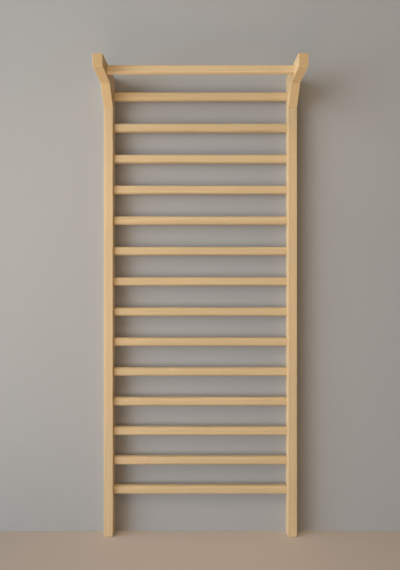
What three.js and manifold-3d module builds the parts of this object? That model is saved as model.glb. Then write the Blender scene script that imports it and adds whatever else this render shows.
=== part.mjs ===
// Swedish wall bars: a wooden climbing frame that stands on the floor and hangs on a wall.
// Two posts carry the rungs, and a head block on each post reaches forward to hold the top bar.
// Millimetres. +Z is up, the floor is Z = 0, the wall is Y = 0 and the user stands on the -Y side.
import * as THREE from "three";
import { mergeVertices } from "three/addons/utils/BufferGeometryUtils.js";
import Module from "manifold-3d";

// Posts
const OVERALL_WIDTH = 900; // over the outer faces of both posts
const POST_WIDTH = 42; // across the frame
const POST_DEPTH = 56; // from the wall to the front face
const ARRIS = 3; // radius of the rounded long edges
const FOOT_CHAMFER = 2; // on the front and back edges of the foot

// Rungs
const RUNG_COUNT = 14;
const LOWEST_RUNG = 214.5; // axis above the floor
const FIRST_SPACING = 137.5; // between the axes of the two lowest rungs
const SPACING_GROWTH = 0.8; // each spacing is larger than the one below it by this
const RUNG_HEIGHT = 39;
const RUNG_DEPTH = 30;
const RUNG_ROUNDING = 11; // corner radius of the section, also of the top bar's
const LEAST_FLAT = 2; // flat left between two rounded corners

// Tenons and mortises
const TENON_SHOULDER = 4; // the tenon is set in from the rung by this, all round
const TENON_CHAMFER = 2;
const GLUE_SPACE = 1; // past the end of a tenon or dowel
const FIT_GAP = 0.3; // clearance between pieces that fit together

// Heads, with heights from the highest rung's axis and reaches from the posts' front faces
const ARM_RISE = 22.6; // up to the arm's level underside
const NOSE_HEIGHT = 56.5; // front end of the arm
const TOP_FALL = 20.5; // the top slopes down by this from the wall to the nose
const HEAD_REACH = 228;
const BRACE_DROP = 82; // from the arm's underside down to the foot of the brace
const BRACE_REACH = 71;
const NOSE_EASING = 3; // the nose's top corner is rounded by this more than the arrises
const TOP_BAR_REACH = 135;
const TOP_BAR_HEIGHT = 36;
const TOP_BAR_DEPTH = 28;

// Dowels between head and post
const DOWEL_DIAMETER = 10;
const DOWEL_DEPTH = 30; // into each piece
const DOWEL_RISE = 16; // lower dowel above the arm's underside
const DOWEL_SPACING = 30;

// Tie screws and the plugs that cover them
const TIE_SCREW = { diameter: 5, headDiameter: 10, length: 60 };
const TIE_SCREW_SEAT = 11; // wood from the plug hole's floor to the mortise's floor
const PLUG_DIAMETER = 12;
const PLUG_LENGTH = 6;
const SCREW_POINT = 6; // length of a screw's pointed end
const SCREW_HEAD_RIM = 0.5; // straight edge above the head's cone

// Keyhole wall hangers
const HANGER_WIDTH = 26;
const HANGER_LENGTH = 84;
const HANGER_THICKNESS = 2.5;
const HANGER_ROUNDING = 6;
const HANGER_SINK = 0.5; // below the post's back face
const KEYHOLE_ENTRY = 14; // diameter that the wall screw's head passes
const KEYHOLE_SLOT = 8; // width that holds the wall screw's neck
const KEYHOLE_TRAVEL = 16; // from the middle of the entry up to the middle of the slot's end
const POCKET_MARGIN = 2; // room round the wall screw's head
const POCKET_DEPTH = 12; // behind the hanger
const HANGER_SCREW = { diameter: 4, headDiameter: 8, length: 30 };
const HANGER_SCREW_INSET = 9; // from the end of the hanger

// Pads under the posts
const PAD_THICKNESS = 2;
const PAD_INSET = 5; // from the post's sides

// Facets and cutting
const CURVE_STEPS = 2; // an arc gets twice as many facets
const RUNG_CURVE_STEPS = 3;
const HANGER_CURVE_STEPS = 4;
const ARRIS_STEPS = 3;
const ROUND_FACETS = 16;
const SCREW_FACETS = 8;
const CUT_PAST = 1; // a cutter runs past the face that it opens by this
const MERGE_DISTANCE = 1e-4;

// Places worked out from the sizes above
const innerHalfSpan = OVERALL_WIDTH / 2 - POST_WIDTH;
const rungSize = { height: RUNG_HEIGHT, depth: RUNG_DEPTH };
const topBarSize = { height: TOP_BAR_HEIGHT, depth: TOP_BAR_DEPTH };
const rungHeights = Array.from(
  { length: RUNG_COUNT },
  (_, i) => LOWEST_RUNG + i * FIRST_SPACING + (SPACING_GROWTH * i * (i - 1)) / 2,
);
const rungY = -POST_DEPTH / 2;
const footZ = PAD_THICKNESS + FIT_GAP;
const armZ = rungHeights.at(-1) + ARM_RISE;
const noseTopZ = armZ + NOSE_HEIGHT;
const topZ = noseTopZ + TOP_FALL;
const noseY = -(POST_DEPTH + HEAD_REACH);
const topBarY = -(POST_DEPTH + TOP_BAR_REACH);
const topBarZ = armZ + NOSE_HEIGHT / 2;
const plugFloor = POST_WIDTH - PLUG_LENGTH - FIT_GAP;
const mortiseDepth = plugFloor - TIE_SCREW_SEAT;
const tenonLength = mortiseDepth - GLUE_SPACE;
const dowelHeights = { lower: armZ + DOWEL_RISE, upper: armZ + DOWEL_RISE + DOWEL_SPACING };
const hangerHeights = {
  lower: (rungHeights[0] + rungHeights[1]) / 2,
  upper: (rungHeights.at(-1) + rungHeights.at(-2)) / 2,
};
const hangerScrewOffset = HANGER_LENGTH / 2 - HANGER_SCREW_INSET;
const tiedRungs = [0, Math.floor((RUNG_COUNT - 1) / 2), RUNG_COUNT - 1];

const X = new THREE.Vector3(1, 0, 0);
const Y = new THREE.Vector3(0, 1, 0);
const Z = new THREE.Vector3(0, 0, 1);

const wasm = await Module();
wasm.setup();

// A closed geometry as a solid that can be joined and cut.
function toSolid(geometry) {
  const bare = geometry.clone();
  bare.deleteAttribute("normal");
  bare.deleteAttribute("uv");
  const merged = mergeVertices(bare, MERGE_DISTANCE);
  const mesh = new wasm.Mesh({
    numProp: 3,
    vertProperties: merged.attributes.position.array,
    triVerts: new Uint32Array(merged.index.array),
  });
  return new wasm.Manifold(mesh);
}

// A solid back as a geometry.
function toGeometry(solid) {
  const mesh = solid.getMesh();
  const geometry = new THREE.BufferGeometry();
  geometry.setAttribute("position", new THREE.BufferAttribute(mesh.vertProperties, 3));
  geometry.setIndex(new THREE.BufferAttribute(mesh.triVerts, 1));
  geometry.computeVertexNormals();
  return geometry;
}

// A solid with each of the geometries cut out of it.
function cutAll(solid, cutters) {
  return cutters.reduce((rest, cutter) => rest.subtract(toSolid(cutter)), solid);
}

// A rectangle round the origin with rounded corners.
function roundedRectangle(width, height, radius) {
  const x = width / 2 - radius;
  const y = height / 2 - radius;
  const quarter = Math.PI / 2;
  const centres = [[x, y], [-x, y], [-x, -y], [x, -y]];
  const shape = new THREE.Shape();
  centres.forEach(([cx, cy], corner) => {
    shape.absarc(cx, cy, radius, corner * quarter, (corner + 1) * quarter, false);
  });
  return shape;
}

// A bar's section in Y and Z, set in all round.
function barSection({ height, depth }, inset) {
  const rounding = Math.min(RUNG_ROUNDING, (depth - LEAST_FLAT) / 2);
  return roundedRectangle(depth - 2 * inset, height - 2 * inset, rounding - inset);
}

// A shape drawn in Y and Z and extruded along X, with its end edges rounded over.
function extrudeX(shape, from, to, { rounding = 0, steps = 1, curveSteps = CURVE_STEPS } = {}) {
  const geometry = new THREE.ExtrudeGeometry(shape, {
    depth: to - from - 2 * rounding,
    curveSegments: curveSteps,
    bevelEnabled: rounding > 0,
    bevelThickness: rounding,
    bevelSize: rounding,
    bevelOffset: -rounding,
    bevelSegments: steps,
  });
  geometry.applyMatrix4(new THREE.Matrix4().makeBasis(Y, Z, X));
  return geometry.translate(from + rounding, 0, 0);
}

// A shape drawn in X and Z and extruded from the wall side towards the front.
function extrudeForward(shape, fromY, depth) {
  const geometry = new THREE.ExtrudeGeometry(shape, {
    depth,
    curveSegments: HANGER_CURVE_STEPS,
    bevelEnabled: false,
  });
  geometry.applyMatrix4(new THREE.Matrix4().makeBasis(X, Z, Y.clone().negate()));
  return geometry.translate(0, fromY, 0);
}

// A round bar along Y, or along X when turned.
function roundBarY(diameter, length) {
  return new THREE.CylinderGeometry(diameter / 2, diameter / 2, length, ROUND_FACETS);
}

function roundBarX(diameter, length) {
  return roundBarY(diameter, length).rotateZ(-Math.PI / 2);
}

// A countersunk screw along Y with its head's top at the origin, grown all round to make its hole.
function screw({ diameter, headDiameter, length }, grow = 0) {
  const radius = diameter / 2 + grow;
  const headRadius = headDiameter / 2 + grow;
  const coneHeight = (headDiameter - diameter) / 2;
  const profile = [
    [0, -length - grow],
    [radius, SCREW_POINT - length],
    [radius, -SCREW_HEAD_RIM - coneHeight],
    [headRadius, -SCREW_HEAD_RIM],
    [headRadius, grow],
    [0, grow],
  ];
  const points = profile.map(([r, y]) => new THREE.Vector2(r, y));
  return new THREE.LatheGeometry(points, SCREW_FACETS);
}

// The side outline of a post with its head, in Y and Z.
function uprightOutline() {
  const noseRounding = ARRIS + NOSE_EASING;
  const slope = TOP_FALL / -noseY;
  const shape = new THREE.Shape();
  shape.moveTo(-FOOT_CHAMFER, footZ);
  shape.lineTo(0, footZ + FOOT_CHAMFER);
  shape.lineTo(0, topZ);
  shape.lineTo(noseY + noseRounding, noseTopZ + noseRounding * slope);
  shape.quadraticCurveTo(noseY, noseTopZ, noseY, noseTopZ - noseRounding);
  shape.lineTo(noseY, armZ);
  shape.lineTo(-POST_DEPTH - BRACE_REACH, armZ);
  shape.lineTo(-POST_DEPTH, armZ - BRACE_DROP);
  shape.lineTo(-POST_DEPTH, footZ + FOOT_CHAMFER);
  shape.lineTo(-POST_DEPTH + FOOT_CHAMFER, footZ);
  return shape;
}

// A block wider and taller than an upright, between two depths.
function slab(fromY, toY) {
  const block = new THREE.BoxGeometry(2 * POST_WIDTH, toY - fromY, 2 * topZ);
  return block.translate(POST_WIDTH / 2, (fromY + toY) / 2, topZ / 2);
}

// Cutters in a side's own frame: X = 0 is the inner face and X = POST_WIDTH the outer one.
function mortise(barSize, y, z) {
  const section = barSection(barSize, TENON_SHOULDER - FIT_GAP);
  return extrudeX(section, -CUT_PAST, mortiseDepth).translate(0, y, z);
}

function tieScrewHole(y, z) {
  return screw(TIE_SCREW, FIT_GAP).rotateZ(-Math.PI / 2).translate(plugFloor, y, z);
}

function plugHole(y, z) {
  const depth = POST_WIDTH - plugFloor + CUT_PAST;
  return roundBarX(PLUG_DIAMETER + 2 * FIT_GAP, depth).translate(plugFloor + depth / 2, y, z);
}

function dowelHole(z) {
  const length = 2 * (DOWEL_DEPTH + GLUE_SPACE);
  return roundBarY(DOWEL_DIAMETER + 2 * FIT_GAP, length).translate(POST_WIDTH / 2, -POST_DEPTH, z);
}

function hangerRecess(z) {
  const shape = roundedRectangle(
    HANGER_WIDTH + 2 * FIT_GAP,
    HANGER_LENGTH + 2 * FIT_GAP,
    HANGER_ROUNDING + FIT_GAP,
  );
  const depth = CUT_PAST + HANGER_SINK + HANGER_THICKNESS + FIT_GAP;
  return extrudeForward(shape, CUT_PAST, depth).translate(POST_WIDTH / 2, 0, z);
}

function hangerPocket(z) {
  const width = KEYHOLE_ENTRY + 2 * POCKET_MARGIN;
  const shape = roundedRectangle(width, width + KEYHOLE_TRAVEL, width / 2 - LEAST_FLAT);
  const depth = HANGER_SINK + HANGER_THICKNESS + POCKET_DEPTH;
  return extrudeForward(shape, 0, depth).translate(POST_WIDTH / 2, 0, z);
}

function hangerScrewHole(z) {
  return screw(HANGER_SCREW, FIT_GAP).translate(POST_WIDTH / 2, -HANGER_SINK, z);
}

// Post and head: one rounded profile, parted along the post's front face.
const upright = toSolid(
  extrudeX(uprightOutline(), 0, POST_WIDTH, { rounding: ARRIS, steps: ARRIS_STEPS }),
);

function postGeometry() {
  const timber = upright.intersect(toSolid(slab(-POST_DEPTH, POST_DEPTH)));
  const hangerScrewHeights = Object.values(hangerHeights).flatMap((z) => [
    z - hangerScrewOffset,
    z + hangerScrewOffset,
  ]);
  const cutters = [
    ...rungHeights.map((z) => mortise(rungSize, rungY, z)),
    ...tiedRungs.map((i) => tieScrewHole(rungY, rungHeights[i])),
    ...tiedRungs.map((i) => plugHole(rungY, rungHeights[i])),
    ...Object.values(dowelHeights).map(dowelHole),
    ...Object.values(hangerHeights).map(hangerRecess),
    ...Object.values(hangerHeights).map(hangerPocket),
    ...hangerScrewHeights.map(hangerScrewHole),
  ];
  return toGeometry(cutAll(timber, cutters));
}

function headGeometry() {
  const block = upright.intersect(toSolid(slab(noseY - CUT_PAST, -POST_DEPTH - FIT_GAP)));
  const cutters = [
    mortise(topBarSize, topBarY, topBarZ),
    tieScrewHole(topBarY, topBarZ),
    plugHole(topBarY, topBarZ),
    ...Object.values(dowelHeights).map(dowelHole),
  ];
  return toGeometry(cutAll(block, cutters));
}

// A bar along X: the rounded length between the shoulders, and a smaller one through it for the tenons.
function barGeometry(barSize, tied) {
  const bodyEnd = innerHalfSpan - FIT_GAP;
  const tenonEnd = innerHalfSpan + tenonLength;
  const body = extrudeX(barSection(barSize, 0), -bodyEnd, bodyEnd, { curveSteps: RUNG_CURVE_STEPS });
  const tenons = extrudeX(barSection(barSize, TENON_SHOULDER), -tenonEnd, tenonEnd, {
    rounding: TENON_CHAMFER,
  });
  const bar = toSolid(body).add(toSolid(tenons));
  if (!tied) return toGeometry(bar);
  const headAt = innerHalfSpan + plugFloor;
  const rightHole = screw(TIE_SCREW, FIT_GAP).rotateZ(-Math.PI / 2).translate(headAt, 0, 0);
  const leftHole = screw(TIE_SCREW, FIT_GAP).rotateZ(Math.PI / 2).translate(-headAt, 0, 0);
  return toGeometry(cutAll(bar, [rightHole, leftHole]));
}

// A round entry with a narrow slot above it.
function keyhole() {
  const entryRadius = KEYHOLE_ENTRY / 2;
  const slotRadius = KEYHOLE_SLOT / 2;
  const entryZ = -KEYHOLE_TRAVEL / 2;
  const slotZ = KEYHOLE_TRAVEL / 2;
  const halfAngle = Math.asin(slotRadius / entryRadius);
  const up = Math.PI / 2;
  const path = new THREE.Path();
  path.absarc(0, slotZ, slotRadius, 0, Math.PI, false);
  path.absarc(0, entryZ, entryRadius, up + halfAngle, up - halfAngle + 2 * Math.PI, false);
  return path;
}

function hangerGeometry() {
  const shape = roundedRectangle(HANGER_WIDTH, HANGER_LENGTH, HANGER_ROUNDING);
  shape.holes.push(keyhole());
  const plate = toSolid(extrudeForward(shape, -HANGER_SINK, HANGER_THICKNESS));
  const holes = [-hangerScrewOffset, hangerScrewOffset].map((z) =>
    screw(HANGER_SCREW, FIT_GAP).translate(0, -HANGER_SINK, z),
  );
  return toGeometry(cutAll(plate, holes));
}

function padGeometry() {
  const shape = roundedRectangle(POST_WIDTH - 2 * PAD_INSET, POST_DEPTH - 2 * PAD_INSET, ARRIS);
  return new THREE.ExtrudeGeometry(shape, {
    depth: PAD_THICKNESS,
    curveSegments: CURVE_STEPS,
    bevelEnabled: false,
  });
}

// Finishes
function finish(color, roughness, metalness = 0) {
  return new THREE.MeshStandardMaterial({ color, roughness, metalness });
}

const postWood = finish(0xd5b890, 0.55);
const headWood = finish(0xcdab7d, 0.55);
const barWood = finish(0xcbac82, 0.5);
const plugWood = finish(0xc4a06e, 0.55);
const zincSteel = finish(0xb4b6b8, 0.35, 1);
const padRubber = finish(0x2b2826, 0.9);

function addMesh(parent, name, geometry, material, x = 0, y = 0, z = 0) {
  const mesh = new THREE.Mesh(geometry, material);
  mesh.name = name;
  mesh.position.set(x, y, z);
  parent.add(mesh);
}

const wallBars = new THREE.Group();

// Bars
const plainRung = barGeometry(rungSize, false);
const tiedRung = barGeometry(rungSize, true);
rungHeights.forEach((z, i) => {
  const geometry = tiedRungs.includes(i) ? tiedRung : plainRung;
  addMesh(wallBars, `rung_${String(i + 1).padStart(2, "0")}`, geometry, barWood, 0, rungY, z);
});
addMesh(wallBars, "top_bar", barGeometry(topBarSize, true), barWood, 0, topBarY, topBarZ);

// Sides, drawn once for the right and mirrored for the left
const post = postGeometry();
const head = headGeometry();
const dowel = roundBarY(DOWEL_DIAMETER, 2 * DOWEL_DEPTH);
const tieScrew = screw(TIE_SCREW).rotateZ(-Math.PI / 2);
const plug = roundBarX(PLUG_DIAMETER, PLUG_LENGTH);
const hanger = hangerGeometry();
const hangerScrew = screw(HANGER_SCREW);
const pad = padGeometry();
const ties = [
  ...tiedRungs.map((i) => [rungY, rungHeights[i]]),
  [topBarY, topBarZ],
];

function addSide(sideName, direction) {
  const side = new THREE.Group();
  side.position.x = direction * innerHalfSpan;
  side.scale.x = direction;
  wallBars.add(side);
  const middle = POST_WIDTH / 2;
  addMesh(side, `${sideName}_post`, post, postWood);
  addMesh(side, `${sideName}_head`, head, headWood);
  addMesh(side, `${sideName}_foot_pad`, pad, padRubber, middle, rungY);
  for (const [place, z] of Object.entries(dowelHeights)) {
    addMesh(side, `${sideName}_head_dowel_${place}`, dowel, plugWood, middle, -POST_DEPTH, z);
  }
  ties.forEach(([y, z], i) => {
    addMesh(side, `${sideName}_tie_screw_${i + 1}`, tieScrew, zincSteel, plugFloor, y, z);
    addMesh(side, `${sideName}_plug_${i + 1}`, plug, plugWood, POST_WIDTH - PLUG_LENGTH / 2, y, z);
  });
  for (const [place, z] of Object.entries(hangerHeights)) {
    const name = `${sideName}_hanger_${place}`;
    addMesh(side, name, hanger, zincSteel, middle, 0, z);
    [-hangerScrewOffset, hangerScrewOffset].forEach((offset, i) => {
      addMesh(side, `${name}_screw_${i + 1}`, hangerScrew, zincSteel, middle, -HANGER_SINK, z + offset);
    });
  }
}

addSide("left", -1);
addSide("right", 1);

export default wallBars;
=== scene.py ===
# Swedish wall bars, dressed and lit. Metres, in the frame of the solids:
# the floor is Z = 0, the wall is Y = 0 and the user stands on the -Y side.
import math
import random

import bmesh
import bpy
from mathutils import Matrix, Vector


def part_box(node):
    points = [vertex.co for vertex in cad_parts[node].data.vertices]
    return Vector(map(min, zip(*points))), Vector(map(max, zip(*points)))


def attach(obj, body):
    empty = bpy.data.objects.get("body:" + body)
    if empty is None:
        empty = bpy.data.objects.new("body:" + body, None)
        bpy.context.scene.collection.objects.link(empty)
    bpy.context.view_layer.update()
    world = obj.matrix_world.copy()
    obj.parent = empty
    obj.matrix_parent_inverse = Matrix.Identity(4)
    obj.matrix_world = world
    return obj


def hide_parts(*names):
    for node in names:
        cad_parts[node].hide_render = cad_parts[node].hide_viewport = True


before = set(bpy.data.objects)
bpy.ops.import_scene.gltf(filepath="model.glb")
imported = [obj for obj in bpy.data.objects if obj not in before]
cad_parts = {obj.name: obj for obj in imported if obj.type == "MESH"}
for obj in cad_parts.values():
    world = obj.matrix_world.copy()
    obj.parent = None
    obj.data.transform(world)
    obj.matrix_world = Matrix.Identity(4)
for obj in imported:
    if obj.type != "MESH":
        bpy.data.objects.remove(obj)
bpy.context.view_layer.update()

MM = 0.001

# Arcs count angles in quarter turns. One is this many radians, and four make a full turn.
QUARTER_TURN = math.pi / 2
FULL_TURN = 4

# Pieces that repeat
SIDES = ("left", "right")
HANGER_PLACES = ("lower", "upper")
HANGER_SCREWS = (1, 2)
BAR_NAMES = sorted(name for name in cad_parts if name.startswith("rung_")) + ["top_bar"]
TIE_COUNT = sum(name.startswith("right_plug_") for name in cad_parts)

# Sizes that the frame gives, on the right-hand side
post_low, post_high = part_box("right_post")
INNER_X, OUTER_X = post_low.x, post_high.x
POST_FRONT = post_low.y
FOOT_Z, TOP_Z = post_low.z, post_high.z
NOSE_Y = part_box("right_head")[0].y

# Sizes that the frame's boxes don't give
FIT_GAP = 0.3 * MM
ARRIS = 3 * MM
FOOT_CHAMFER = 2 * MM
NOSE_HEIGHT = 56.5 * MM
TOP_FALL = 20.5 * MM
BRACE_DROP = 82 * MM
BRACE_REACH = 71 * MM
NOSE_EASING = 6 * MM
EDGE_EASING = 5 * MM
RUNG_ROUNDING = 11 * MM
TENON_SHOULDER = 4 * MM
TENON_CHAMFER = 2 * MM
SHOULDER_EASING = 0.6 * MM
GLUE_SPACE = 1 * MM
PLUG_EASING = 0.4 * MM
HANGER_ROUNDING = 6 * MM
HANGER_EASING = 0.5 * MM
KEYHOLE_ENTRY = 14 * MM
KEYHOLE_SLOT = 8 * MM
KEYHOLE_TRAVEL = 16 * MM
POCKET_MARGIN = 2 * MM
POCKET_DEPTH = 12 * MM
POCKET_END_FLAT = 2 * MM
SCREW_SHANK = 4 * MM
SCREW_POINT = 6 * MM
SCREW_TIP_SHARE = 1 / 8
SCREW_HEAD_RIM = 0.5 * MM
RECESS_REACH = 2.3 * MM
RECESS_WIDTH = 1.0 * MM
RECESS_DEPTH = 1.8 * MM
RECESS_FLOOR_SHARE = 0.5
PAD_ROUNDING = 4 * MM
PAD_EASING = 0.8 * MM
CUT_PAST = 1 * MM

NOSE_TOP_Z = TOP_Z - TOP_FALL
ARM_Z = NOSE_TOP_Z - NOSE_HEIGHT

# Mesh fineness
ARRIS_STEPS = 8
CORNER_STEPS = 10
ROUND_STEPS = 48
SHARP_ANGLE = math.radians(32)
SAME_PLACE = 1e-7


# Meshes

def skin(bm, rings, edge_wear_and_highlight=None):
    """Joins rings of points with quads and closes the two ends. Edge wear and painted highlight: one number
    per ring.
    """
    layer = bm.verts.layers.float.get("edge_wear_and_highlight") or bm.verts.layers.float.new("edge_wear_and_highlight")
    loops = []
    for i, ring in enumerate(rings):
        loop = [bm.verts.new(point) for point in ring]
        for vert in loop:
            vert[layer] = edge_wear_and_highlight[i] if edge_wear_and_highlight else 0.0
        loops.append(loop)
    faces = [bm.faces.new(loops[0]), bm.faces.new(loops[-1])]
    for one, two in zip(loops, loops[1:]):
        for i, vert in enumerate(one):
            after = (i + 1) % len(one)
            faces.append(bm.faces.new((vert, one[after], two[after], two[i])))
    bmesh.ops.recalc_face_normals(bm, faces=faces)


def arc(centre, radius, start, turn, steps):
    """Points of an arc in a plane. Start and turn are in quarter turns."""
    x, y = centre
    angles = [(start + turn * i / steps) * QUARTER_TURN for i in range(steps + 1)]
    return [Vector((x + radius * math.cos(angle), y + radius * math.sin(angle))) for angle in angles]


def circle(radius, steps):
    return arc((0, 0), radius, 0, FULL_TURN, steps)[:-1]


def rectangle(half_width, half_height):
    x, y = half_width, half_height
    return [(x, y), (-x, y), (-x, -y), (x, -y)]


def rounded_rectangle(width, height, radius):
    corners = rectangle(width / 2 - radius, height / 2 - radius)
    return [point for i, corner in enumerate(corners) for point in arc(corner, radius, i, 1, CORNER_STEPS)]


def inset(outline, distance):
    """A closed outline, drawn anticlockwise, with every edge moved inwards."""
    moved = []
    for i, here in enumerate(outline):
        before = (here - outline[i - 1]).normalized()
        after = (outline[(i + 1) % len(outline)] - here).normalized()
        inward = Vector((-before.y - after.y, before.x + after.x))
        moved.append(here + inward * (distance / (1 + before.dot(after))))
    return moved


def eased(corners):
    """A closed outline from corners that each have a place, a size to ease by and a number of steps."""
    places = [Vector(place) for place, *_ in corners]
    points = []
    for i, (_, size, steps) in enumerate(corners):
        here, before, after = places[i], places[i - 1], places[(i + 1) % len(places)]
        if not steps:
            points.append(here)
            continue
        start = here + (before - here).normalized() * size
        end = here + (after - here).normalized() * size
        for share in (step / steps for step in range(steps + 1)):
            points.append(start * (1 - share) ** 2 + here * (2 * share * (1 - share)) + end * share ** 2)
    return points


def board(bm, outline, low, high, rounding, place):
    """An outline given thickness between two heights, with both rims rounded over."""
    angles = [QUARTER_TURN * i / ARRIS_STEPS for i in range(ARRIS_STEPS + 1)]
    # Each rim step also carries an edge weight, highest midway round the rounding, which the wood shows as
    # rubbed wear and a painted highlight.
    rims = [
        (rounding * (1 - math.cos(angle)), rounding * (1 - math.sin(angle)), math.sin(2 * angle))
        for angle in angles
    ]
    layers = [(low + rise, drawn_in, edge_wear_and_highlight) for rise, drawn_in, edge_wear_and_highlight in rims]
    layers += [(high - rise, drawn_in, edge_wear_and_highlight) for rise, drawn_in, edge_wear_and_highlight in reversed(rims)]
    rings = [[place(point, height) for point in inset(outline, drawn_in)] for height, drawn_in, _ in layers]
    skin(bm, rings, [edge_wear_and_highlight for *_, edge_wear_and_highlight in layers])


def prism(bm, outline, low, high, place):
    skin(bm, [[place(point, height) for point in outline] for height in (low, high)])


def turned(bm, profile, place):
    """A profile of radius and height turned about an axis."""
    rings = [[place(point, height) for point in circle(radius, ROUND_STEPS)] for radius, height in profile]
    skin(bm, rings)


def across(point, x):
    """A point of a side view at a distance across the frame."""
    return Vector((x, point[0], point[1]))


def on_axis_x(centre):
    return lambda point, x: Vector((x, centre.y + point[0], centre.z + point[1]))


def on_axis_y(centre):
    return lambda point, y: Vector((centre.x + point[0], y, centre.z + point[1]))


def on_axis_z(centre):
    return lambda point, z: Vector((centre.x + point[0], centre.y + point[1], z))


def middle(node):
    low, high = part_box(node)
    return (low + high) / 2


def as_object(bm, name):
    mesh = bpy.data.meshes.new(name)
    bm.to_mesh(mesh)
    bm.free()
    made = bpy.data.objects.new(name, mesh)
    bpy.context.collection.objects.link(made)
    return made


def carve(bm, cutter):
    """A mesh with another one cut out of it."""
    body, tool = as_object(bm, "carved"), as_object(cutter, "cutter")
    cut = body.modifiers.new("cut", "BOOLEAN")
    cut.object = tool
    cut.operation = "DIFFERENCE"
    cut.solver = "EXACT"
    depsgraph = bpy.context.evaluated_depsgraph_get()
    result = bmesh.new()
    result.from_mesh(body.evaluated_get(depsgraph).to_mesh())
    for used in (body, tool):
        bpy.data.objects.remove(used)
    return result


def part(bm, low_side=None, high_side=None):
    """Keeps what lies between two depths and closes the cuts."""
    for depth, direction in ((low_side, -1), (high_side, 1)):
        if depth is None:
            continue
        cut = bmesh.ops.bisect_plane(
            bm,
            geom=bm.verts[:] + bm.edges[:] + bm.faces[:],
            dist=SAME_PLACE,
            plane_co=(0, depth, 0),
            plane_no=(0, direction, 0),
            clear_outer=True,
        )
        edges = [item for item in cut["geom_cut"] if isinstance(item, bmesh.types.BMEdge)]
        bmesh.ops.contextual_create(bm, geom=edges)
    bmesh.ops.recalc_face_normals(bm, faces=bm.faces)
    return bm


def add_piece(node, bm, material, mirrored=False):
    """Puts a finished mesh in the place of a node of the frame."""
    if mirrored:
        bmesh.ops.transform(bm, matrix=Matrix.Scale(-1, 4, (1, 0, 0)), verts=bm.verts)
        bmesh.ops.reverse_faces(bm, faces=bm.faces)
    bmesh.ops.remove_doubles(bm, verts=bm.verts, dist=SAME_PLACE)
    piece = as_object(bm, f"fine_{node}")
    piece.data.shade_smooth()
    piece.data.set_sharp_from_angle(angle=SHARP_ANGLE)
    weighted = piece.modifiers.new("flat faces stay flat", "WEIGHTED_NORMAL")
    weighted.keep_sharp = True
    piece.data.materials.append(material)
    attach(piece, "root")
    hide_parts(node)
    return piece


# Materials

def srgb(red, green, blue):
    """A colour written as 0 to 255, for a shader, by the standard's formula."""
    def linear(value):
        share = value / 255
        return share / 12.92 if share <= 0.04045 else ((share + 0.055) / 1.055) ** 2.4
    return (linear(red), linear(green), linear(blue), 1.0)


class Surface:
    """A material, with short ways to add nodes to it."""

    def __init__(self, name):
        self.material = bpy.data.materials.new(name)
        self.material.use_nodes = True
        self.tree = self.material.node_tree
        self.shader = self.tree.nodes["Principled BSDF"]

    def put(self, value, socket):
        if isinstance(value, bpy.types.NodeSocket):
            self.tree.links.new(value, socket)
        else:
            socket.default_value = value

    def node(self, kind, inputs, **settings):
        made = self.tree.nodes.new(kind)
        for key, value in settings.items():
            setattr(made, key, value)
        for key, value in inputs.items():
            self.put(value, made.inputs[key])
        return made

    def shade(self, **inputs):
        for key, value in inputs.items():
            self.put(value, self.shader.inputs[key.replace("_", " ")])

    def math(self, operation, one, two=0.0):
        return self.node("ShaderNodeMath", {0: one, 1: two}, operation=operation).outputs[0]

    def times(self, one, two):
        return self.math("MULTIPLY", one, two)

    def plus(self, base, value, amount):
        """A base with an amount of a value added to it."""
        return self.math("ADD", base, self.times(value, amount))

    def vector(self, operation, one, two):
        return self.node("ShaderNodeVectorMath", {0: one, 1: two}, operation=operation).outputs[0]

    def position(self):
        return self.node("ShaderNodeTexCoord", {}).outputs["Object"]

    def scaled(self, *scale):
        """The place on the piece, with a scale for each axis."""
        return self.vector("MULTIPLY", self.position(), scale)

    def noise(self, place, detail=2.0, roughness=0.5):
        inputs = {"Vector": place, "Scale": 1.0, "Detail": detail, "Roughness": roughness}
        return self.node("ShaderNodeTexNoise", inputs)

    def speckle(self, scale, detail):
        """Noise with a number of features per metre."""
        return self.noise(self.scaled(scale, scale, scale), detail).outputs[0]

    def step(self, value, low, high):
        inputs = {"Value": value, "From Min": low, "From Max": high}
        return self.node("ShaderNodeMapRange", inputs, interpolation_type="SMOOTHSTEP").outputs[0]

    def swing(self, value, amount, centre=1.0):
        """A value between 0 and 1 turned into one that swings about a centre."""
        inputs = {"Value": value, "To Min": centre - amount, "To Max": centre + amount}
        return self.node("ShaderNodeMapRange", inputs).outputs[0]

    def blend(self, share, one, two, how="MIX"):
        """Two colours mixed. The Mix node has its colours at inputs 6 and 7 and at output 2."""
        made = self.node("ShaderNodeMix", {0: share, 6: one, 7: two}, data_type="RGBA", blend_type=how)
        return made.outputs[2]

    def bump(self, height, strength, distance):
        inputs = {"Height": height, "Strength": strength, "Distance": distance}
        self.shade(Normal=self.node("ShaderNodeBump", inputs).outputs[0])

    def attribute(self, name, kind):
        return self.node("ShaderNodeAttribute", {}, attribute_name=name, attribute_type=kind)


# The axes in the order across, across, along the grain, for wood along each axis
GRAIN_ORDER = {"X": "YZX", "Y": "ZXY", "Z": "XYZ"}

# Year rings: their width, how they wander, and where in a ring the late wood begins and ends
RING_WIDTH = 3.2 * MM
RING_WANDER = 16 * MM
RING_UNEVENNESS = 2.5
UNEVENNESS_SCALE = 0.35
LATE_WOOD_RISE = (0.25, 0.9)
LATE_WOOD_FALL = (0.93, 1.0)

# Features of the wood per metre, across and along the grain
WANDER_SCALE = (5, 1.2)
FIBRE_SCALE = (520, 7)
BAND_SCALE = (55, 1.3)
CLOUD_SCALE = (6, 2.2)
FLECK_SCALE = (380, 60)
FLECK_EDGE = (0.64, 0.74)
NOISE_MIDDLE = (0.5, 0.5, 0.5)

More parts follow.
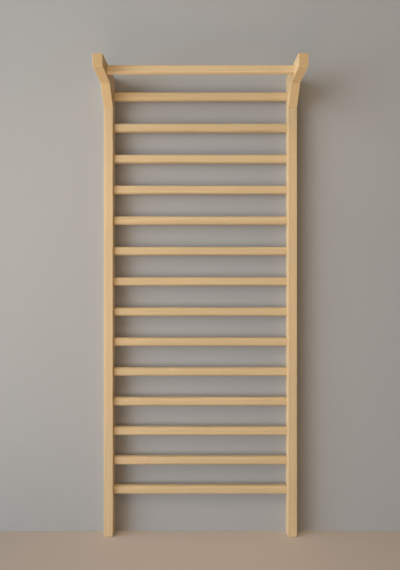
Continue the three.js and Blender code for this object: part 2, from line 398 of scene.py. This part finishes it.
# How each of them changes the colour, the roughness and the height of the wood
LATE_COLOUR = 0.52
BAND_COLOUR = 0.45
FIBRE_TONE = 0.12
CLOUD_TONE = 0.07
FLECK_TONE = -0.12
# Rounded edges are made lighter: partly rubbed wear, partly a painted highlight along the arrises.
EDGE_WEAR_AND_HIGHLIGHT_TONE = 0.06
END_GRAIN_TONE = (0.81, 0.77, 0.72, 1.0)
END_GRAIN_EDGE = (0.55, 0.95)
WOOD_ROUGHNESS = 0.56
FIBRE_ROUGHNESS = 0.10
LATE_ROUGHNESS = -0.05
WEAR_ROUGHNESS = -0.06
FIBRE_HEIGHT = 0.6
LATE_HEIGHT = 0.25
FLECK_HEIGHT = -0.5
SATIN = {"Specular_IOR_Level": 0.2, "Coat_Weight": 0.04, "Coat_Roughness": 0.35}

# Features of the zinc per metre, along each axis
CRYSTAL_SCALE = (900, 900, 900)
SCRATCH_SCALE = (2500, 2500, 120)


def wood(name, along, pale, ripe):
    """Straight-grained pale wood: year rings round the log's axis, fibres, short flecks, and rounded edges
    lightened as wear and a painted highlight.
    """
    look = Surface(name)
    axes = look.node("ShaderNodeSeparateXYZ", {0: look.position()}).outputs
    lined_up = {i: axes[axis] for i, axis in enumerate(GRAIN_ORDER[along])}
    lengthwise = look.node("ShaderNodeCombineXYZ", lined_up).outputs[0]
    shift = look.attribute("grain_shift", "OBJECT").outputs["Vector"]
    log = look.vector("ADD", lengthwise, shift)

    def texture(scale, **settings):
        across_scale, along_scale = scale
        stretched = look.vector("MULTIPLY", log, (across_scale, across_scale, along_scale))
        return look.noise(stretched, **settings).outputs

    wander = look.vector("SUBTRACT", texture(WANDER_SCALE)["Color"], NOISE_MIDDLE)
    bent = look.vector("ADD", log, look.vector("MULTIPLY", wander, (RING_WANDER, RING_WANDER, 0)))
    flat = look.vector("MULTIPLY", bent, (1, 1, 0))
    radius = look.node("ShaderNodeVectorMath", {0: flat}, operation="LENGTH").outputs["Value"]
    years = look.math("DIVIDE", radius, RING_WIDTH)
    year_by_year = {"W": years, "Scale": UNEVENNESS_SCALE}
    uneven = look.node("ShaderNodeTexNoise", year_by_year, noise_dimensions="1D").outputs[0]
    phase = look.math("FRACT", look.plus(years, uneven, RING_UNEVENNESS))
    not_yet_over = look.math("SUBTRACT", 1.0, look.step(phase, *LATE_WOOD_FALL))
    late = look.times(look.step(phase, *LATE_WOOD_RISE), not_yet_over)

    fibres = texture(FIBRE_SCALE, detail=4, roughness=0.6)[0]
    bands = texture(BAND_SCALE, detail=2)[0]
    clouds = texture(CLOUD_SCALE, detail=1)[0]
    flecks = look.step(texture(FLECK_SCALE, detail=1)[0], *FLECK_EDGE)
    # The edge weight on the rounded edges, used for rubbed wear and a painted highlight.
    edge_wear_and_highlight = look.attribute("edge_wear_and_highlight", "GEOMETRY").outputs["Fac"]

    ripeness = look.plus(look.times(late, LATE_COLOUR), bands, BAND_COLOUR)
    colour = look.blend(ripeness, srgb(*pale), srgb(*ripe))
    tone = look.times(look.swing(fibres, FIBRE_TONE), look.swing(clouds, CLOUD_TONE))
    tone = look.times(tone, look.plus(1.0, flecks, FLECK_TONE))
    # The rounded edges are lightened: a painted highlight along the arrises, together with some wear.
    tone = look.times(tone, look.plus(1.0, edge_wear_and_highlight, EDGE_WEAR_AND_HIGHLIGHT_TONE))
    colour = look.blend(1.0, colour, tone, "MULTIPLY")
    normal = look.node("ShaderNodeNewGeometry", {}).outputs["Normal"]
    towards = look.node("ShaderNodeSeparateXYZ", {0: normal}).outputs[along]
    end_grain = look.step(look.math("ABSOLUTE", towards), *END_GRAIN_EDGE)
    colour = look.blend(end_grain, colour, END_GRAIN_TONE, "MULTIPLY")

    rough = look.plus(look.swing(fibres, FIBRE_ROUGHNESS, WOOD_ROUGHNESS), late, LATE_ROUGHNESS)
    rough = look.plus(rough, edge_wear_and_highlight, WEAR_ROUGHNESS)
    height = look.plus(look.times(fibres, FIBRE_HEIGHT), late, LATE_HEIGHT)
    height = look.plus(height, flecks, FLECK_HEIGHT)
    look.shade(Base_Color=colour, Roughness=rough, **SATIN)
    look.bump(height, strength=0.35, distance=0.25 * MM)
    return look.material


def zinc_steel():
    """Bright zinc plate with a crystalline bloom, fine scratches and duller patches."""
    look = Surface("zinc_steel")
    bright, dull = srgb(206, 208, 209), srgb(172, 172, 168)
    finely = {"Vector": look.scaled(*CRYSTAL_SCALE), "Scale": 1.0}
    crystals = look.node("ShaderNodeTexVoronoi", finely).outputs["Color"]
    scratches = look.noise(look.scaled(*SCRATCH_SCALE), detail=3).outputs[0]
    patches = look.speckle(scale=90, detail=3)
    grey = look.blend(patches, bright, dull)
    colour = look.blend(share=0.06, one=grey, two=crystals, how="SOFT_LIGHT")
    rough = look.plus(look.swing(patches, amount=0.14, centre=0.34), scratches, amount=0.1)
    look.shade(Base_Color=colour, Metallic=1.0, Roughness=rough)
    look.bump(scratches, strength=0.2, distance=0.05 * MM)
    return look.material


def pad_rubber():
    """Black rubber with a fine moulded grain and grey dust."""
    look = Surface("pad_rubber")
    black, grey = srgb(38, 35, 33), srgb(70, 66, 61)
    grain = look.speckle(scale=2200, detail=2)
    dust = look.speckle(scale=140, detail=4)
    colour = look.blend(look.step(dust, low=0.4, high=0.8), black, grey)
    look.shade(Base_Color=colour, Roughness=look.swing(dust, amount=0.1, centre=0.82))
    look.bump(grain, strength=0.4, distance=0.15 * MM)
    return look.material


POST_WOOD = wood("post_wood", "Z", pale=(223, 195, 157), ripe=(204, 173, 131))
HEAD_WOOD = wood("head_wood", "Y", pale=(228, 199, 156), ripe=(206, 174, 127))
BAR_WOOD = wood("bar_wood", "X", pale=(221, 194, 156), ripe=(201, 171, 129))
PLUG_WOOD = wood("plug_wood", "X", pale=(205, 171, 124), ripe=(176, 138, 92))
ZINC_STEEL = zinc_steel()
PAD_RUBBER = pad_rubber()

# Where each piece was in its log: the distance from the log's axis, and how far along it
POST_IN_LOG = 0.09
HEAD_IN_LOG = 0.07
BARS_IN_LOG = (0.05, 0.12)
PLUGS_IN_LOG = (0.03, 0.06)
ALONG_LOG = 9
GRAIN_SEED = 14
rng = random.Random(GRAIN_SEED)


def cut_from_log(piece, along, distance):
    """Gives a piece its own place in a log, at a distance from the log's axis."""
    corners = [Vector(corner) for corner in piece.bound_box]
    centre = sum(corners, Vector()) / len(corners)
    angle = rng.uniform(0, 2 * math.pi)
    along_log = rng.uniform(-ALONG_LOG, ALONG_LOG)
    place = Vector((math.cos(angle) * distance, math.sin(angle) * distance, along_log))
    axes = [getattr(centre, axis.lower()) for axis in GRAIN_ORDER[along]]
    piece["grain_shift"] = [place[0] - axes[0], place[1] - axes[1], place[2]]


# Bars

def bar_section(node, drawn_in):
    low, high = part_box(node)
    depth, height = high.y - low.y, high.z - low.z
    return rounded_rectangle(depth - 2 * drawn_in, height - 2 * drawn_in, RUNG_ROUNDING - drawn_in)


def bar(node):
    """A rounded bar between its shoulders, with a chamfered tenon at each end."""
    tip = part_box(node)[1].x
    shoulder = INNER_X - FIT_GAP
    half = [
        (tip, TENON_SHOULDER + TENON_CHAMFER),
        (tip - TENON_CHAMFER, TENON_SHOULDER),
        (shoulder, TENON_SHOULDER),
        (shoulder, SHOULDER_EASING),
        (shoulder - SHOULDER_EASING, 0),
    ]
    stations = half + [(-x, drawn_in) for x, drawn_in in reversed(half)]
    place = on_axis_x(middle(node))
    bm = bmesh.new()
    skin(bm, [[place(point, x) for point in bar_section(node, drawn_in)] for x, drawn_in in stations])
    cut_from_log(add_piece(node, bm, BAR_WOOD), "X", rng.uniform(*BARS_IN_LOG))


# Posts and heads

def upright_outline():
    """The side view of a post with its head, in Y and Z, anticlockwise from the foot's back corner."""
    return eased([
        ((0, FOOT_Z), FOOT_CHAMFER, 1),
        ((0, TOP_Z), EDGE_EASING, ARRIS_STEPS),
        ((NOSE_Y, NOSE_TOP_Z), NOSE_EASING, ARRIS_STEPS),
        ((NOSE_Y, ARM_Z), EDGE_EASING, ARRIS_STEPS),
        ((POST_FRONT - BRACE_REACH, ARM_Z), 0, 0),
        ((POST_FRONT, ARM_Z - BRACE_DROP), 0, 0),
        ((POST_FRONT, FOOT_Z), FOOT_CHAMFER, 1),
    ])


def upright():
    """The right-hand post and its head in one, before they are parted at the glue joint."""
    bm = bmesh.new()
    board(bm, upright_outline(), INNER_X, OUTER_X, ARRIS, across)
    return bm


def cut_mortise(cutter, bar_node):
    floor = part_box(bar_node)[1].x + GLUE_SPACE
    section = bar_section(bar_node, TENON_SHOULDER - FIT_GAP)
    prism(cutter, section, INNER_X - CUT_PAST, floor, on_axis_x(middle(bar_node)))


def cut_plug_hole(cutter, plug_node):
    low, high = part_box(plug_node)
    radius = (high.z - low.z) / 2 + FIT_GAP
    turned(cutter, [(radius, low.x - FIT_GAP), (radius, high.x + CUT_PAST)], on_axis_x(middle(plug_node)))


def cut_hanger_recess(cutter, hanger_node):
    low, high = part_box(hanger_node)
    width, length = high.x - low.x + 2 * FIT_GAP, high.z - low.z + 2 * FIT_GAP
    outline = rounded_rectangle(width, length, HANGER_ROUNDING + FIT_GAP)
    prism(cutter, outline, low.y - FIT_GAP, CUT_PAST, on_axis_y(middle(hanger_node)))


def cut_hanger_pocket(cutter, hanger_node):
    """Room behind the keyhole for the head of a screw in the wall."""
    low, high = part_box(hanger_node)
    width = KEYHOLE_ENTRY + 2 * POCKET_MARGIN
    outline = rounded_rectangle(width, width + KEYHOLE_TRAVEL, (width - POCKET_END_FLAT) / 2)
    prism(cutter, outline, low.y - POCKET_DEPTH, high.y, on_axis_y(middle(hanger_node)))


def post(side):
    """A post with its mortises, plug holes and hanger recesses. The left one is the right one mirrored."""
    recesses, pockets = bmesh.new(), bmesh.new()
    for rung in BAR_NAMES[:-1]:
        cut_mortise(recesses, rung)
    for i in range(1, TIE_COUNT):
        cut_plug_hole(recesses, f"right_plug_{i}")
    for place in HANGER_PLACES:
        cut_hanger_recess(recesses, f"right_hanger_{place}")
        cut_hanger_pocket(pockets, f"right_hanger_{place}")
    bm = carve(carve(part(upright(), low_side=POST_FRONT), recesses), pockets)
    piece = add_piece(f"{side}_post", bm, POST_WOOD, mirrored=side == "left")
    cut_from_log(piece, "Z", POST_IN_LOG)


def head(side):
    """A head with the top bar's mortise and its plug hole. The left one is the right one mirrored."""
    recesses = bmesh.new()
    cut_mortise(recesses, "top_bar")
    cut_plug_hole(recesses, f"right_plug_{TIE_COUNT}")
    bm = carve(part(upright(), high_side=POST_FRONT - FIT_GAP), recesses)
    piece = add_piece(f"{side}_head", bm, HEAD_WOOD, mirrored=side == "left")
    cut_from_log(piece, "Y", HEAD_IN_LOG)


def plug(node):
    """A round plug with its outer rim eased."""
    low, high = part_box(node)
    radius = (high.z - low.z) / 2
    outer, inner = (low.x, high.x) if low.x < 0 else (high.x, low.x)
    inwards = math.copysign(PLUG_EASING, inner - outer)
    profile = [(radius - PLUG_EASING, outer), (radius, outer + inwards), (radius, inner)]
    bm = bmesh.new()
    turned(bm, profile, on_axis_x(middle(node)))
    cut_from_log(add_piece(node, bm, PLUG_WOOD), "X", rng.uniform(*PLUGS_IN_LOG))


# Hangers, their screws and the pads

def keyhole():
    """A round entry with a narrower slot above it, in X and Z."""
    entry, slot = KEYHOLE_ENTRY / 2, KEYHOLE_SLOT / 2
    half_angle = math.asin(slot / entry) / QUARTER_TURN
    around = arc((0, -KEYHOLE_TRAVEL / 2), entry, 1 + half_angle, FULL_TURN - 2 * half_angle, ROUND_STEPS)
    return arc((0, KEYHOLE_TRAVEL / 2), slot, 0, FULL_TURN / 2, ROUND_STEPS // 2) + around


def screw_profile(node, grown):
    """Radius and depth of a countersunk screw along Y, from its head's face inwards."""
    low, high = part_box(node)
    head_radius, shank = (high.x - low.x) / 2 + grown, SCREW_SHANK / 2 + grown
    cone_end = high.y - SCREW_HEAD_RIM - (head_radius - shank)
    return [
        (head_radius - SCREW_HEAD_RIM / 2, high.y + grown),
        (head_radius, high.y - SCREW_HEAD_RIM / 2),
        (head_radius, high.y - SCREW_HEAD_RIM),
        (shank, cone_end),
        (shank, low.y + SCREW_POINT),
        (shank * SCREW_TIP_SHARE, low.y),
    ]


def hanger(node):
    """A rounded plate with a keyhole and two countersunk holes."""
    low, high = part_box(node)
    place = on_axis_y(middle(node))
    bm, cutter = bmesh.new(), bmesh.new()
    outline = rounded_rectangle(high.x - low.x, high.z - low.z, HANGER_ROUNDING)
    board(bm, outline, low.y, high.y, HANGER_EASING, place)
    prism(cutter, keyhole(), low.y - CUT_PAST, high.y + CUT_PAST, place)
    for i in HANGER_SCREWS:
        screw_node = f"{node}_screw_{i}"
        turned(cutter, screw_profile(screw_node, FIT_GAP), on_axis_y(middle(screw_node)))
    add_piece(node, carve(bm, cutter), ZINC_STEEL)


def hanger_screw(node):
    """A countersunk screw with a cross recess that narrows with depth."""
    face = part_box(node)[1].y
    place = on_axis_y(middle(node))
    bm = bmesh.new()
    turned(bm, screw_profile(node, 0), place)
    for reach, width in ((RECESS_REACH, RECESS_WIDTH / 2), (RECESS_WIDTH / 2, RECESS_REACH)):
        narrowed = rectangle(reach * RECESS_FLOOR_SHARE, width * RECESS_FLOOR_SHARE)
        mouth = [place(corner, face + CUT_PAST) for corner in rectangle(reach, width)]
        floor = [place(corner, face - RECESS_DEPTH) for corner in narrowed]
        slot = bmesh.new()
        skin(slot, [mouth, floor])
        bm = carve(bm, slot)
    add_piece(node, bm, ZINC_STEEL)


def foot_pad(node):
    low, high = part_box(node)
    bm = bmesh.new()
    outline = rounded_rectangle(high.x - low.x, high.y - low.y, PAD_ROUNDING)
    board(bm, outline, low.z, high.z, PAD_EASING, on_axis_z(middle(node)))
    add_piece(node, bm, PAD_RUBBER)


for name in BAR_NAMES:
    bar(name)
for side in SIDES:
    post(side)
    head(side)
    foot_pad(f"{side}_foot_pad")
    for i in range(1, TIE_COUNT + 1):
        plug(f"{side}_plug_{i}")
    for place in HANGER_PLACES:
        hanger(f"{side}_hanger_{place}")
        for i in HANGER_SCREWS:
            hanger_screw(f"{side}_hanger_{place}_screw_{i}")

# Nodes that keep their own shape, inside the wood
for name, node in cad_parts.items():
    if "tie_screw" in name:
        node.material_slots[0].material = ZINC_STEEL
    if "dowel" in name:
        node.material_slots[0].material = PLUG_WOOD


# Floor and wall

WALL_GAP = 1 * MM
WALL_HEIGHT = 7.0
STAGE_REACH = 5.0
STAGE_STEPS = 120
FLOOR_COLOUR = srgb(215, 203, 197)
WALL_COLOUR = srgb(174, 173, 175)


def sheet(name, corners, material):
    """One flat face of the stage."""
    bm = bmesh.new()
    bm.faces.new([bm.verts.new(corner) for corner in corners])
    made = as_object(bm, name)
    made.data.materials.append(material)
    return made


def floor_paint():
    """A matt pale floor with a fine speckle."""
    look = Surface("floor_paint")
    clouds = look.speckle(scale=1.5, detail=3)
    grain = look.speckle(scale=260, detail=2)
    tone = look.times(look.swing(clouds, amount=0.03), look.swing(grain, amount=0.04))
    colour = look.blend(1.0, FLOOR_COLOUR, tone, "MULTIPLY")
    look.shade(Base_Color=colour, Roughness=0.8)
    look.bump(grain, strength=0.1, distance=0.4 * MM)
    return look.material


def wall_paint():
    """Matt paint with a roller's stipple on the room side, and nothing at all on the other side."""
    look = Surface("wall_paint")
    stipple = look.speckle(scale=220, detail=3)
    clouds = look.speckle(scale=1.2, detail=2)
    tone = look.times(look.swing(clouds, amount=0.02), look.swing(stipple, amount=0.05))
    colour = look.blend(1.0, WALL_COLOUR, tone, "MULTIPLY")
    look.shade(Base_Color=colour, Roughness=0.9, Specular_IOR_Level=0.2)
    look.bump(stipple, strength=0.1, distance=0.3 * MM)
    behind = look.node("ShaderNodeNewGeometry", {}).outputs["Backfacing"]
    clear = look.node("ShaderNodeBsdfTransparent", {}).outputs[0]
    mixed = look.node("ShaderNodeMixShader", {0: behind, 1: look.shader.outputs[0], 2: clear}).outputs[0]
    look.put(mixed, look.tree.nodes["Material Output"].inputs["Surface"])
    return look.material


ground = sheet("floor", [(x, y, 0) for x, y in circle(STAGE_REACH, STAGE_STEPS)], floor_paint())
wall_corners = [
    (-STAGE_REACH, WALL_GAP, 0),
    (STAGE_REACH, WALL_GAP, 0),
    (STAGE_REACH, WALL_GAP, WALL_HEIGHT),
    (-STAGE_REACH, WALL_GAP, WALL_HEIGHT),
]
wall = sheet("wall", wall_corners, wall_paint())

# The floor lets light from below through. The wall shows shadows, and casts neither light nor shade.
ground.visible_shadow = False
wall.visible_diffuse = False
wall.visible_glossy = False
wall.visible_transmission = False
wall.visible_shadow = False


# Lights: cool panels like windows on the left, warm light from above, from the right and off the floor,
# two narrow panels that reach the tops of the low bars and the undersides of the high ones,
# and beams from below, from behind and from the right for the sides that the front view doesn't see

COOL = (0.78, 0.91, 1.0)
DAY = (0.90, 0.93, 0.93)
SOFT = (1.0, 0.84, 0.62)
WARM = (1.0, 0.78, 0.50)
WHITE = (1.0, 0.97, 0.93)
LEFTWARDS, RIGHTWARDS = (-1, 0, 0), (1, 0, 0)
FORWARDS, UPWARDS = (0, -1, 0), (0, 0, 1)
WINDOW_X = -8.0
BEAM_PLACE = (0, 0, 1)
BEAM_ANGLE = math.radians(1)
AMBIENT_STRENGTH = 0.05
BACKDROP_COLOUR = srgb(176, 172, 165)


def add_lamp(name, kind, place, facing, colour, **settings):
    lamp = bpy.data.lights.new(name, kind)
    lamp.color = colour
    for key, value in settings.items():
        setattr(lamp, key, value)
    made = bpy.data.objects.new(name, lamp)
    made.location = place
    made.rotation_euler = Vector(facing).to_track_quat("-Z", "Y").to_euler()
    bpy.context.collection.objects.link(made)
    return made


def panel(name, place, facing, width, height, power, colour, spread=180):
    """A soft rectangular light. Its spread is in degrees."""
    size = {"shape": "RECTANGLE", "size": width, "size_y": height}
    add_lamp(name, "AREA", place, facing, colour, energy=power, spread=math.radians(spread), **size)


def window(name, y, z, width, height, power, colour):
    """A panel on the left that faces across the room."""
    panel(name, (WINDOW_X, y, z), RIGHTWARDS, width, height, power, colour)


def beam(name, facing, strength):
    """Parallel light that is seen only where it falls, and not by way of the wall or another piece."""
    made = add_lamp(name, "SUN", BEAM_PLACE, facing, WHITE, energy=strength, angle=BEAM_ANGLE)
    made.visible_glossy = False
    made.data.cycles.max_bounces = 0


window("window_near", y=-3.7, z=2.2, width=4.7, height=9.0, power=700, colour=COOL)
window("window_middle", y=-6.4, z=1.2, width=5.7, height=5.0, power=320, colour=DAY)
window("window_far", y=-10.0, z=2.3, width=8.1, height=8.0, power=365, colour=DAY)
panel("right", (5.4, -2.8, 1.6), LEFTWARDS, width=4.6, height=3.0, power=42, colour=WARM)
panel("above", (0, -1.5, 5.5), (0, 1.5, -4.4), width=2.5, height=2.5, power=14, colour=WARM)
panel("ceiling", (-0.5, -3.2, 5.2), (0.1, 3.2, -4.0), width=5.0, height=3.0, power=32, colour=SOFT)
panel("off_the_floor", (-1.8, -2.2, 0.02), UPWARDS, width=3.4, height=2.4, power=36, colour=SOFT)
panel(
    "onto_low_bars", (-0.5, -2.4, 4.6), (0.5, 2.4, -4.3),
    width=2.5, height=1.2, power=2.4, colour=WARM, spread=30,
)
panel(
    "onto_high_bars", (-0.5, -1.6, 0.05), (0.5, 1.6, 2.05),
    width=2.5, height=0.6, power=1.3, colour=WARM, spread=40,
)
beam("beam_from_below", UPWARDS, strength=0.35)
beam("beam_from_behind", FORWARDS, strength=2.2)
beam("beam_from_the_right", LEFTWARDS, strength=1.8)

# World: a faint warm light, and a grey backdrop for the camera and for what gloss and glass show
world = bpy.data.worlds.new("room")
world.use_nodes = True
bpy.context.scene.world = world
sky = world.node_tree
ambient = sky.nodes["Background"]
ambient.inputs["Color"].default_value = (*WARM, 1)
ambient.inputs["Strength"].default_value = AMBIENT_STRENGTH
backdrop = sky.nodes.new("ShaderNodeBackground")
backdrop.inputs["Color"].default_value = BACKDROP_COLOUR
rays = sky.nodes.new("ShaderNodeLightPath").outputs
seen = rays["Is Camera Ray"]
for ray in ("Is Glossy Ray", "Is Transmission Ray"):
    larger = sky.nodes.new("ShaderNodeMath")
    larger.operation = "MAXIMUM"
    sky.links.new(seen, larger.inputs[0])
    sky.links.new(rays[ray], larger.inputs[1])
    seen = larger.outputs[0]
either = sky.nodes.new("ShaderNodeMixShader")
sky.links.new(seen, either.inputs[0])
sky.links.new(ambient.outputs[0], either.inputs[1])
sky.links.new(backdrop.outputs[0], either.inputs[2])
sky.links.new(either.outputs[0], sky.nodes["World Output"].inputs["Surface"])


# Camera: level, square to the wall

CAMERA_PLACE = (-0.0019, -2.177, 1.1771)
LENS = 28.75
SENSOR = 36

camera = bpy.data.objects.new("camera", bpy.data.cameras.new("camera"))
camera.data.lens = LENS
camera.data.sensor_width = SENSOR
camera.data.sensor_fit = "AUTO"
camera.location = CAMERA_PLACE
camera.rotation_euler = (QUARTER_TURN, 0, 0)
bpy.context.collection.objects.link(camera)
bpy.context.scene.camera = camera
bpy.context.scene.view_settings.view_transform = "Standard"
